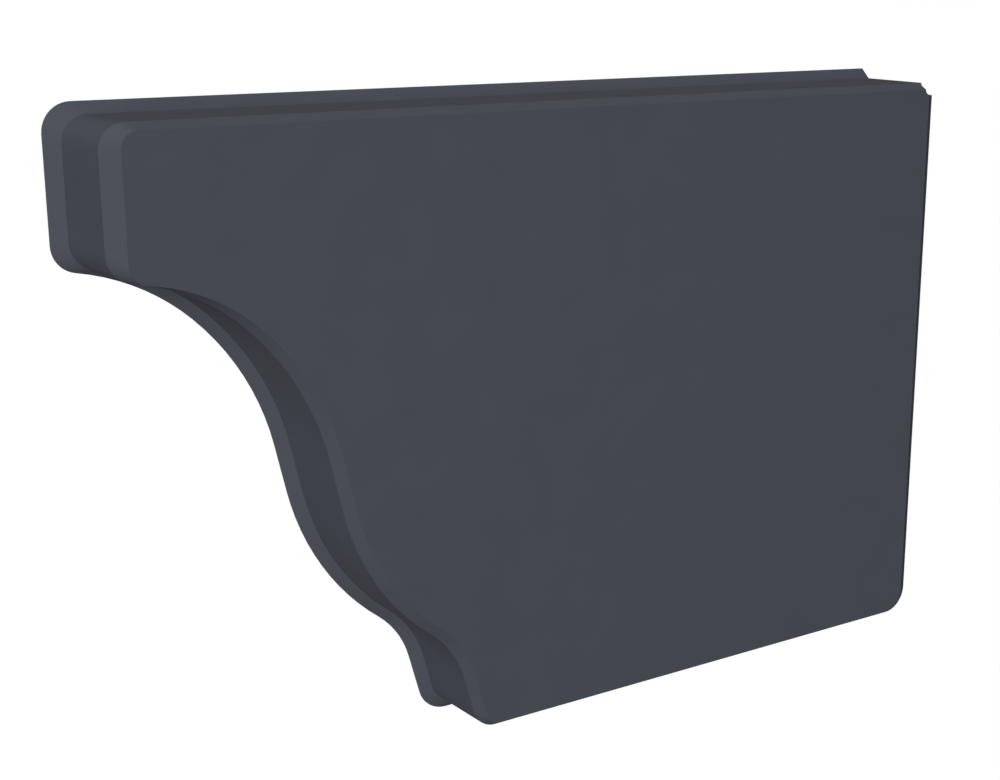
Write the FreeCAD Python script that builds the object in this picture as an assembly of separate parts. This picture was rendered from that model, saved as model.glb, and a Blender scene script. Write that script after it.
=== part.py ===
"""End cap of an ogee roof gutter, pressed from one sheet of aluminium.

The cap is a shallow open tray. Its flat plate closes the gutter's end, a bevelled bend runs
round the plate, a straight flange slips over the gutter, and the flange's free edge flares
outwards as a lead-in. Lengths are millimetres and angles are degrees.

Frame: +Z up, +X towards the fascia board, +Y along the gutter, away from the plate. The origin
is the middle of the seat, the plate's inner side that the gutter's end meets.
"""
import FreeCAD, Part
import math
import os
from collections import namedtuple

os.makedirs("parts", exist_ok=True)

# The gutter that the cap closes, and the sheet that the cap is made of
GUTTER_WIDTH = 127.0
GUTTER_HEIGHT = 81.3
FIT_CLEARANCE = 0.2
SHEET = 0.8

# Depths along the gutter
BEVEL_DEPTH = 1.8
FLANGE_DEPTH = 10.9
FLARE_DEPTH = 1.5

# An ogee runs from the lip's nose down to the foot. A heading is the direction of travel, in
# degrees from +X, and each arc ends at the heading of the next one.
COVE_START_HEADING = -10.2
COVE_MIDDLE_HEADING = -42.4
COVE_END_HEADING = -77.1
OGEE_STRAIGHT = 6.5
OVOLO_END_HEADING = -37.4
FOOT_HEADING = -74.5

# The cap's outer edge is three rings: the plate's, the flange's and the rim's. A ring's ogee is
# drawn from the cove's start, which lies this far in from the flange's lip and down from its top,
# to the foot. The other sides stand off from the flange, and so does the ogee: the plate's by
# nothing under the lip, where its bevel narrows out, and the rim's by this much at most.
Ring = namedtuple("Ring", "ogee ogee_wall standoff corners")
Ogee = namedtuple("Ogee", "cove_inset cove_drop upper_cove lower_cove ankle foot_height")
Sides = namedtuple("Sides", "lip top ogee bottom fascia")
Corners = namedtuple("Corners", "top nose foot heel")
PLATE = Ring(
    Ogee(cove_inset=4.9, cove_drop=18.0, upper_cove=24.9, lower_cove=35.1, ankle=15.4, foot_height=8.6),
    0.0,
    Sides(lip=-1.9, top=-0.85, ogee=0.0, bottom=-1.0, fascia=-2.45),
    Corners(top=2.0, nose=2.4, foot=2.0, heel=3.3),
)
FLANGE = Ring(
    Ogee(cove_inset=3.4, cove_drop=17.9, upper_cove=25.6, lower_cove=35.5, ankle=14.5, foot_height=7.7),
    0.0,
    Sides(lip=0.0, top=0.0, ogee=0.0, bottom=0.0, fascia=0.0),
    Corners(top=3.2, nose=3.5, foot=3.5, heel=3.7),
)
RIM = Ring(
    Ogee(cove_inset=1.0, cove_drop=18.2, upper_cove=28.4, lower_cove=34.0, ankle=13.0, foot_height=7.3),
    0.0,
    Sides(lip=1.7, top=1.4, ogee=1.5, bottom=1.7, fascia=1.5),
    Corners(top=3.6, nose=3.4, foot=4.4, heel=5.2),
)
TIGHTEST_CORNER = 0.3

# The open corner between the top flange and the fascia flange
RELIEF_WIDTH = 2.5
RELIEF_HEIGHT = 1.9
RELIEF_HOLE_RADIUS = 0.75

# Outer edges of the flange, and the depths of the tray's outer corners
WALL_ALLOWANCE = FIT_CLEARANCE + SHEET
LIP_X = -GUTTER_WIDTH / 2 - WALL_ALLOWANCE
FASCIA_X = GUTTER_WIDTH / 2 + WALL_ALLOWANCE
TOP_Z = GUTTER_HEIGHT / 2 + WALL_ALLOWANCE
BOTTOM_Z = -GUTTER_HEIGHT / 2 - WALL_ALLOWANCE
PLATE_Y = -SHEET
BEVEL_Y = PLATE_Y + BEVEL_DEPTH
FLANGE_Y = BEVEL_Y + FLANGE_DEPTH
MOUTH_Y = FLANGE_Y + FLARE_DEPTH

# One arc of an outline. The radius is positive where the arc turns left.
Arc = namedtuple("Arc", "centre_x centre_z radius heading_in heading_out")


def leftward(heading):
    """The unit vector, as (x, z), to the left of a heading."""
    return -math.sin(math.radians(heading)), math.cos(math.radians(heading))


def point_on(arc, heading, depth):
    """The arc's point where it has this heading."""
    left_x, left_z = leftward(heading)
    return FreeCAD.Vector(arc.centre_x - arc.radius * left_x, depth, arc.centre_z - arc.radius * left_z)


def climb(radius, heading_in, heading_out):
    """How far an arc rises between two headings."""
    return radius * (leftward(heading_in)[1] - leftward(heading_out)[1])


def ovolo_radius(ogee):
    """The ovolo's radius, with which it takes up the height that the ogee's other parts leave."""
    others = (
        climb(-ogee.upper_cove, COVE_START_HEADING, COVE_MIDDLE_HEADING)
        + climb(-ogee.lower_cove, COVE_MIDDLE_HEADING, COVE_END_HEADING)
        - OGEE_STRAIGHT * leftward(COVE_END_HEADING)[0]
        + climb(-ogee.ankle, OVOLO_END_HEADING, FOOT_HEADING)
    )
    whole = BOTTOM_Z + ogee.foot_height - TOP_Z + ogee.cove_drop
    return (whole - others) / climb(1.0, COVE_END_HEADING, OVOLO_END_HEADING)


def ogee_arcs(ogee):
    """The arcs of an ogee, from the cove under the lip to the ankle above the foot."""
    stretches = (
        (0.0, -ogee.upper_cove, COVE_MIDDLE_HEADING),
        (0.0, -ogee.lower_cove, COVE_END_HEADING),
        (OGEE_STRAIGHT, ovolo_radius(ogee), OVOLO_END_HEADING),
        (0.0, -ogee.ankle, FOOT_HEADING),
    )
    walked = []
    x, z, heading = LIP_X + ogee.cove_inset, TOP_Z - ogee.cove_drop, COVE_START_HEADING
    for straight, radius, heading_out in stretches:
        left_x, left_z = leftward(heading)
        centre_x = x + straight * left_z + radius * left_x
        centre_z = z - straight * left_x + radius * left_z
        walked.append(Arc(centre_x, centre_z, radius, heading, heading_out))
        left_x, left_z = leftward(heading_out)
        x, z, heading = centre_x - radius * left_x, centre_z - radius * left_z, heading_out
    return walked


def nose_arc(lip_x, radius, cove):
    """The lip's lower corner, tangent to the lip's face and to the cove."""
    centre_x = lip_x + radius
    reach = radius - cove.radius
    centre_z = cove.centre_z + math.sqrt(reach ** 2 - (centre_x - cove.centre_x) ** 2)
    bearing = math.degrees(math.atan2(centre_z - cove.centre_z, centre_x - cove.centre_x))
    return Arc(centre_x, centre_z, radius, -90.0, bearing - 90.0)


def foot_arc(bottom_z, radius, ankle):
    """The front corner of the bottom, tangent to the foot's slope and to the bottom."""
    slope_start = point_on(ankle, FOOT_HEADING, 0.0)
    left_x, left_z = leftward(FOOT_HEADING)
    centre_z = bottom_z + radius
    drop = slope_start.z + radius * left_z - centre_z
    centre_x = slope_start.x + radius * left_x + drop * left_z / left_x
    return Arc(centre_x, centre_z, radius, FOOT_HEADING, 0.0)


def outline(ring, depth):
    """A ring's closed outline at one depth.

    It runs down the lip, along the ogee and the bottom, up the fascia side and back along the top.
    """
    standoff, corners = ring.standoff, ring.corners
    bends = [arc._replace(radius=arc.radius - ring.ogee_wall) for arc in ogee_arcs(ring.ogee)]
    lip_x, fascia_x = LIP_X - standoff.lip, FASCIA_X + standoff.fascia
    top_z, bottom_z = TOP_Z + standoff.top, BOTTOM_Z - standoff.bottom
    nose = nose_arc(lip_x, corners.nose, bends[0])
    bends[0] = bends[0]._replace(heading_in=nose.heading_out)
    arcs = [
        Arc(lip_x + corners.top, top_z - corners.top, corners.top, 180.0, 270.0),
        nose,
        *bends,
        foot_arc(bottom_z, corners.foot, bends[-1]),
        Arc(fascia_x - corners.heel, bottom_z + corners.heel, corners.heel, 0.0, 90.0),
    ]
    edges = []
    reached = FreeCAD.Vector(fascia_x, depth, top_z)
    for arc in arcs:
        start = point_on(arc, arc.heading_in, depth)
        middle = point_on(arc, (arc.heading_in + arc.heading_out) / 2, depth)
        end = point_on(arc, arc.heading_out, depth)
        if not start.isEqual(reached, Part.Precision.confusion()):
            edges.append(Part.makeLine(reached, start))
        edges.append(Part.Arc(start, middle, end).toShape())
        reached = end
    edges.append(Part.makeLine(reached, edges[0].Vertexes[0].Point))
    return Part.Wire(edges)


def tray(plate, flange, rim, depths):
    """A solid block with the tray's form: bevel, straight flange and flare, front to back."""
    plate_y, bevel_y, flange_y, mouth_y = depths
    flange_start = outline(flange, bevel_y)
    bevel = Part.makeLoft([outline(plate, plate_y), flange_start], True, True)
    straight = Part.Face(flange_start).extrude(FreeCAD.Vector(0, flange_y - bevel_y, 0))
    flare = Part.makeLoft([outline(flange, flange_y), outline(rim, mouth_y)], True, True)
    return bevel.fuse([straight, flare]).removeSplitter()


def mitre(run, rise):
    """How far a bend's inner corner lies past its outer one, along the sheet."""
    return SHEET * math.tan(math.atan2(rise, run) / 2)


def bevel_wall(standoff):
    """The sheet's breadth across the plate's ring."""
    return mitre(-standoff, BEVEL_DEPTH)


def flange_wall(standoff):
    """The sheet's breadth across the flange, which has no slant."""
    return SHEET


def flare_wall(standoff):
    """The sheet's breadth across the slant of the flare."""
    return SHEET * math.hypot(1.0, standoff / FLARE_DEPTH)


def inside(ring, wall):
    """The sheet's inner side at a ring, where wall gives the breadth that goes with a standoff."""
    standoff = Sides(*(side - wall(side) for side in ring.standoff))
    corners = Corners(*(max(radius - SHEET, TIGHTEST_CORNER) for radius in ring.corners))
    return Ring(ring.ogee, wall(ring.standoff.ogee), standoff, corners)


def outer_block():
    """The cap's outer form, closed."""
    return tray(PLATE, FLANGE, RIM, (PLATE_Y, BEVEL_Y, FLANGE_Y, MOUTH_Y))


def hollow_block():
    """The space inside the cap, one sheet in from the outer form and open at the mouth."""
    bevel_y = BEVEL_Y + mitre(BEVEL_DEPTH, -PLATE.standoff.bottom)
    flange_y = FLANGE_Y + mitre(FLARE_DEPTH, RIM.standoff.ogee)
    depths = (PLATE_Y + SHEET, bevel_y, flange_y, MOUTH_Y)
    return tray(inside(PLATE, bevel_wall), inside(FLANGE, flange_wall), inside(RIM, flare_wall), depths)


def corner_relief():
    """The notch at the top of the fascia side, with the round hole where its two bends meet."""
    reach = RELIEF_WIDTH + RIM.standoff.fascia
    rise = RELIEF_HEIGHT + RIM.standoff.top
    depth = MOUTH_Y - PLATE_Y
    notch_corner = FreeCAD.Vector(FASCIA_X - RELIEF_WIDTH, PLATE_Y, TOP_Z - RELIEF_HEIGHT)
    notch = Part.makeBox(reach, depth, rise, notch_corner)
    bend_corner = FreeCAD.Vector(FASCIA_X + PLATE.standoff.fascia, PLATE_Y, TOP_Z + PLATE.standoff.top)
    hole = Part.makeCylinder(RELIEF_HOLE_RADIUS, depth, bend_corner, FreeCAD.Vector(0, 1, 0))
    return notch.fuse(hole)


def end_cap():
    """The whole cap."""
    return outer_block().cut(hollow_block()).cut(corner_relief())


cap = end_cap()
cap.exportStep(os.path.join("parts", "end_cap.step"))
print("end_cap solids", len(cap.Solids), "valid", cap.isValid(), "volume mm3", round(cap.Volume, 1))
box = cap.BoundBox
print("size mm", round(box.XLength, 2), round(box.YLength, 2), round(box.ZLength, 2))
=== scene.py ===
"""Studio picture of a gutter end cap: its graphite coat, the pale sweep, the lamps and the camera.

The pressed cap itself is the CAD node end_cap, which keeps its mesh. Lengths in the fields are in
millimetres and angles in degrees, in the cap's own frame: +Z is up, +X points to the fascia board
and +Y runs along the gutter, from the cap's plate to its mouth.
"""

import logging
import math
from dataclasses import dataclass, field
from enum import Enum

import bmesh
import bpy
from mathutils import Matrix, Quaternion, Vector

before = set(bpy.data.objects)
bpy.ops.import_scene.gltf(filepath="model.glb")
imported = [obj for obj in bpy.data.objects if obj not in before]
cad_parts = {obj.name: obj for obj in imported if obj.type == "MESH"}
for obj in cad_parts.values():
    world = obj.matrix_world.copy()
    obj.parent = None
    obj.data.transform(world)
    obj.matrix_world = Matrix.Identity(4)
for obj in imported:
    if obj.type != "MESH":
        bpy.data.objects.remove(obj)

Triple = tuple[float, float, float]
Rgba = tuple[float, float, float, float]

log = logging.getLogger("gutter_end_cap")

MM = 0.001
WHITE = "#FFFFFF"


def linear(hex_colour: str) -> Rgba:
    """Turn an sRGB hex colour into linear light.

    Args:
        hex_colour: Six hex digits after a hash mark.

    Returns:
        Red, green, blue and an opaque alpha.
    """
    channels = [int(hex_colour[i:i + 2], 16) / 255.0 for i in (1, 3, 5)]
    # The sRGB curve is a short straight start and then a power
    red, green, blue = (c / 12.92 if c <= 0.04045 else ((c + 0.055) / 1.055) ** 2.4 for c in channels)
    return red, green, blue, 1.0


def metres(point_mm: Triple) -> Vector:
    """Turn a place in millimetres into metres."""
    return Vector(point_mm) * MM


def add_node(
    tree: bpy.types.NodeTree,
    kind: str,
    inputs: dict[str | int, object] | None = None,
    links: dict[str | int, bpy.types.NodeSocket] | None = None,
    **settings: object,
) -> bpy.types.Node:
    """Add one node with its settings, values and links.

    Args:
        tree: The tree that gets the node.
        kind: The node's type, such as ShaderNodeMath.
        inputs: Values for the node's own sockets, by name or place.
        links: Sockets to join to the node's inputs, by name or place.
        **settings: The node's own properties.

    Returns:
        The new node.
    """
    node = tree.nodes.new(kind)
    for name, value in settings.items():
        setattr(node, name, value)
    for name, value in (inputs or {}).items():
        node.inputs[name].default_value = value
    for name, socket in (links or {}).items():
        tree.links.new(socket, node.inputs[name])
    return node


def empty_material(name: str) -> bpy.types.Material:
    """Make a material with no nodes yet.

    Args:
        name: The material's name.

    Returns:
        The material, whose tree is empty.
    """
    material = bpy.data.materials.new(name)
    material.use_nodes = True
    material.node_tree.nodes.clear()
    return material


class LampRole(Enum):
    """What a lamp does for the picture, with its object's name."""

    KEY = "key_softbox"
    TOP_FRONT = "top_front_softbox"
    TOP_REAR = "top_rear_softbox"
    FILL = "fill_softbox"
    REAR = "rear_softbox"


@dataclass(frozen=True)
class GraphiteCoat:
    """Graphite polyester coat, baked on the aluminium sheet.

    The coat is smooth and of low gloss: an even dark blue grey with a broad, faint shine and no flake.
    """

    name: str = "graphite_polyester_coat"
    colour: str = "#44474F"
    tone_swing: float = 0.06
    ior: float = 1.5
    specular_level: float = 0.15
    roughness: float = 0.75
    roughness_swing: float = 0.03
    flow_mm: float = 6.0
    flow_detail: float = 2.0
    grain_mm: float = 0.5
    grain_detail: float = 1.0
    grain_height_mm: float = 0.002
    grain_strength: float = 0.2

    def material(self) -> bpy.types.Material:
        """Build the coat's material.

        Returns:
            The coat, whose patterns lie in the cap's own frame.
        """
        material = empty_material(self.name)
        tree = material.node_tree
        place = add_node(tree, "ShaderNodeTexCoord").outputs["Object"]
        # The baked paint flows out in soft patches a few millimetres across, barely seen in tone and shine
        flow = add_node(
            tree,
            "ShaderNodeTexNoise",
            {"Scale": 1.0 / (self.flow_mm * MM), "Detail": self.flow_detail},
            {"Vector": place},
        )
        tone = add_node(
            tree,
            "ShaderNodeMapRange",
            {"To Min": 1.0 - self.tone_swing, "To Max": 1.0 + self.tone_swing},
            {"Value": flow.outputs["Fac"]},
        )
        pigment = add_node(
            tree,
            "ShaderNodeHueSaturation",
            {"Color": linear(self.colour)},
            {"Value": tone.outputs["Result"]},
        )
        low, high = self.roughness - self.roughness_swing, self.roughness + self.roughness_swing
        shine = add_node(
            tree,
            "ShaderNodeMapRange",
            {"To Min": low, "To Max": high},
            {"Value": flow.outputs["Fac"]},
        )
        # The coat's orange peel is far too fine to see, drawn here at half a millimetre
        grain = add_node(
            tree,
            "ShaderNodeTexNoise",
            {"Scale": 1.0 / (self.grain_mm * MM), "Detail": self.grain_detail},
            {"Vector": place},
        )
        relief = add_node(
            tree,
            "ShaderNodeBump",
            {"Strength": self.grain_strength, "Distance": self.grain_height_mm * MM},
            {"Height": grain.outputs["Fac"]},
        )
        paint = add_node(
            tree,
            "ShaderNodeBsdfPrincipled",
            {"IOR": self.ior, "Specular IOR Level": self.specular_level},
            {
                "Base Color": pigment.outputs["Color"],
                "Roughness": shine.outputs["Result"],
                "Normal": relief.outputs["Normal"],
            },
        )
        add_node(tree, "ShaderNodeOutputMaterial", links={"Surface": paint.outputs["BSDF"]})
        return material


@dataclass(frozen=True)
class WhitePaper:
    """Matte white background paper.

    It bounces light as paper does, and shows nearly plain white to the camera. The coat is too dull
    to mirror it, so that only the camera sees the white.
    """

    name: str = "matte_white_paper"
    colour: str = "#E6E6E6"
    roughness: float = 0.9
    specular_level: float = 0.0
    share_of_white: float = 0.96
    white_level: float = 1.04

    def material(self) -> bpy.types.Material:
        """Build the paper's material.

        Returns:
            Diffuse paper, mixed with plain white on what the camera sees.
        """
        material = empty_material(self.name)
        tree = material.node_tree
        paper = add_node(
            tree,
            "ShaderNodeBsdfPrincipled",
            {
                "Base Color": linear(self.colour),
                "Roughness": self.roughness,
                "Specular IOR Level": self.specular_level,
            },
        )
        white = add_node(
            tree,
            "ShaderNodeEmission",
            {"Color": linear(WHITE), "Strength": self.white_level},
        )
        seen = add_node(tree, "ShaderNodeLightPath").outputs["Is Camera Ray"]
        share = add_node(tree, "ShaderNodeMath", {1: self.share_of_white}, {0: seen}, operation="MULTIPLY")
        mixed = add_node(
            tree,
            "ShaderNodeMixShader",
            links={0: share.outputs[0], 1: paper.outputs["BSDF"], 2: white.outputs["Emission"]},
        )
        add_node(tree, "ShaderNodeOutputMaterial", links={"Surface": mixed.outputs["Shader"]})
        return material


@dataclass
class EndCap:
    """The pressed cap, one piece of coated sheet."""

    node: str = "end_cap"
    coat: GraphiteCoat = field(default_factory=GraphiteCoat)

    def dress(self, nodes: dict[str, bpy.types.Object]) -> bpy.types.Object:
        """Give the cap its coat.

        Args:
            nodes: The CAD nodes by name.

        Returns:
            The cap's own object.
        """
        cap = nodes[self.node]
        coat = self.coat.material()
        for slot in cap.material_slots:
            slot.material = coat
        return cap


@dataclass
class Sweep:
    """The paper sweep: a pale floor well below the cap, which curves up into a backdrop behind it."""

    drop: float = 900.0
    width: float = 16000.0
    rise: float = 5000.0
    curve: float = 900.0
    curve_steps: int = 16
    smooth_below: float = 30.0
    paper: WhitePaper = field(default_factory=WhitePaper)

    def build(self) -> bpy.types.Object:
        """Model the sweep from a plane.

        Returns:
            The sweep's object.
        """
        bpy.ops.object.select_all(action="DESELECT")
        bpy.ops.mesh.primitive_plane_add(size=self.width * MM, location=(0.0, 0.0, -self.drop * MM))
        sweep = bpy.context.active_object
        sweep.name = "paper_sweep"
        bpy.ops.object.transform_apply(location=True, rotation=True, scale=True)
        bpy.ops.object.mode_set(mode="EDIT")
        self.select_edge(sweep, -self.drop)
        bpy.ops.mesh.extrude_region_move(TRANSFORM_OT_translate={"value": (0.0, 0.0, self.rise * MM)})
        self.select_edge(sweep, -self.drop)
        bpy.ops.mesh.bevel(offset=self.curve * MM, segments=self.curve_steps)
        bpy.ops.object.mode_set(mode="OBJECT")
        bpy.ops.object.shade_smooth_by_angle(angle=math.radians(self.smooth_below))
        sweep.data.materials.append(self.paper.material())
        return sweep

    def select_edge(self, sweep: bpy.types.Object, height: float) -> None:
        """Select only the edge along the sweep's back at one height.

        Args:
            sweep: The sweep, in edit mode.
            height: The edge's height in millimetres.
        """
        bpy.ops.mesh.select_all(action="DESELECT")
        bpy.ops.mesh.select_mode(type="EDGE")
        mesh = bmesh.from_edit_mesh(sweep.data)
        back = self.width * MM / 2
        for edge in mesh.edges:
            at_back = all(abs(v.co.y - back) < MM and abs(v.co.z - height * MM) < MM for v in edge.verts)
            edge.select_set(at_back)
        bmesh.update_edit_mesh(sweep.data)


@dataclass
class Lamp:
    """One soft square lamp, which faces the cap.

    Azimuth 0 is in front of the plate and 90 on the fascia's side. A grid over the lamp narrows its
    beam to the spread, so that little of its light falls on the floor.
    """

    role: LampRole
    azimuth: float
    elevation: float
    distance: float
    side: float
    watts: float
    spread: float = 50.0

    def build(self) -> bpy.types.Object:
        """Place the lamp.

        Returns:
            The lamp's object.
        """
        azimuth, elevation = math.radians(self.azimuth), math.radians(self.elevation)
        flat = math.cos(elevation)
        towards = Vector((math.sin(azimuth) * flat, -math.cos(azimuth) * flat, math.sin(elevation)))
        bpy.ops.object.select_all(action="DESELECT")
        bpy.ops.object.light_add(type="AREA", location=towards * self.distance * MM)
        lamp = bpy.context.active_object
        lamp.name = self.role.value
        lamp.rotation_mode = "QUATERNION"
        lamp.rotation_quaternion = (-towards).to_track_quat("-Z", "Y")
        lamp.data.shape = "SQUARE"
        lamp.data.size = self.side * MM
        lamp.data.spread = math.radians(self.spread)
        lamp.data.energy = self.watts
        return lamp


@dataclass
class StudioAir:
    """The even light from all round, which the camera sees as plain white."""

    level: float = 0.09
    seen_level: float = 1.0

    def build(self) -> bpy.types.World:
        """Make the world.

        Returns:
            The world, white to the camera and dimmer as a light.
        """
        world = bpy.data.worlds.new("studio_air")
        world.use_nodes = True
        tree = world.node_tree
        tree.nodes.clear()
        white = linear(WHITE)
        dim = add_node(tree, "ShaderNodeBackground", {"Color": white, "Strength": self.level})
        bright = add_node(tree, "ShaderNodeBackground", {"Color": white, "Strength": self.seen_level})
        seen = add_node(tree, "ShaderNodeLightPath").outputs["Is Camera Ray"]
        mixed = add_node(
            tree,
            "ShaderNodeMixShader",
            links={0: seen, 1: dim.outputs["Background"], 2: bright.outputs["Background"]},
        )
        add_node(tree, "ShaderNodeOutputWorld", links={"Surface": mixed.outputs["Shader"]})
        bpy.context.scene.world = world
        return world


@dataclass
class Viewpoint:
    """The camera, at the photograph's viewing angle.

    The photograph's crop is off centre. Half of that is a lens shift here, in shares of the picture's
    width, and the camera's own turn makes up the rest.
    """

    place: Triple = (-137.28, -188.60, 60.11)
    aim: Triple = (4.03, 0.0, -6.96)
    roll: float = 0.596
    lens: float = 64.592
    sensor: float = 36.0
    shift_right: float = -0.108
    shift_up: float = 0.0706
    near: float = 10.0
    far: float = 20000.0

    def build(self) -> bpy.types.Object:
        """Place the camera and make it the scene's own.

        Returns:
            The camera's object.
        """
        place = metres(self.place)
        upright = (metres(self.aim) - place).to_track_quat("-Z", "Y")
        turn = Quaternion((0.0, 0.0, 1.0), math.radians(self.roll))
        bpy.ops.object.select_all(action="DESELECT")
        bpy.ops.object.camera_add(location=place)
        camera = bpy.context.active_object
        camera.name = "photo_camera"
        camera.rotation_mode = "QUATERNION"
        camera.rotation_quaternion = upright @ turn
        camera.data.lens = self.lens
        camera.data.sensor_width = self.sensor
        camera.data.shift_x = self.shift_right
        camera.data.shift_y = self.shift_up
        camera.data.clip_start = self.near * MM
        camera.data.clip_end = self.far * MM
        bpy.context.scene.camera = camera
        return camera


@dataclass
class Studio:
    """Everything round the cap: sweep, lamps, air and camera."""

    sweep: Sweep = field(default_factory=Sweep)
    air: StudioAir = field(default_factory=StudioAir)
    viewpoint: Viewpoint = field(default_factory=Viewpoint)
    lamps: tuple[Lamp, ...] = (
        Lamp(LampRole.KEY, azimuth=-37.5, elevation=6.0, distance=1500.0, side=700.0, watts=2.52),
        Lamp(LampRole.TOP_FRONT, azimuth=50.0, elevation=76.0, distance=1400.0, side=700.0, watts=0.62),
        Lamp(LampRole.TOP_REAR, azimuth=200.0, elevation=78.0, distance=1400.0, side=700.0, watts=0.55),
        Lamp(LampRole.FILL, azimuth=-120.0, elevation=12.0, distance=1500.0, side=700.0, watts=0.34),
        Lamp(
            LampRole.REAR, azimuth=180.0, elevation=0.0, distance=3000.0, side=300.0, watts=0.8, spread=20.0
        ),
    )

    def build(self) -> None:
        """Set the studio up and report each of its parts."""
        bpy.context.scene.view_settings.view_transform = "Standard"
        paper = self.sweep.build()
        log.info("%s: floor %.0f mm below the cap's middle", paper.name, self.sweep.drop)
        for lamp in self.lamps:
            light = lamp.build()
            log.info("%s: %.2f W", light.name, lamp.watts)
        world = self.air.build()
        log.info("%s: level %.2f", world.name, self.air.level)
        camera = self.viewpoint.build()
        log.info("%s: lens %.1f mm", camera.name, self.viewpoint.lens)


def main() -> None:
    """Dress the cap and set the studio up."""
    logging.basicConfig(level=logging.INFO, format="%(name)s %(message)s")
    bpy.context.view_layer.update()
    cap = EndCap().dress(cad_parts)
    log.info("%s: %s", cap.name, cap.material_slots[0].material.name)
    Studio().build()


if __name__ == "__main__":
    main()
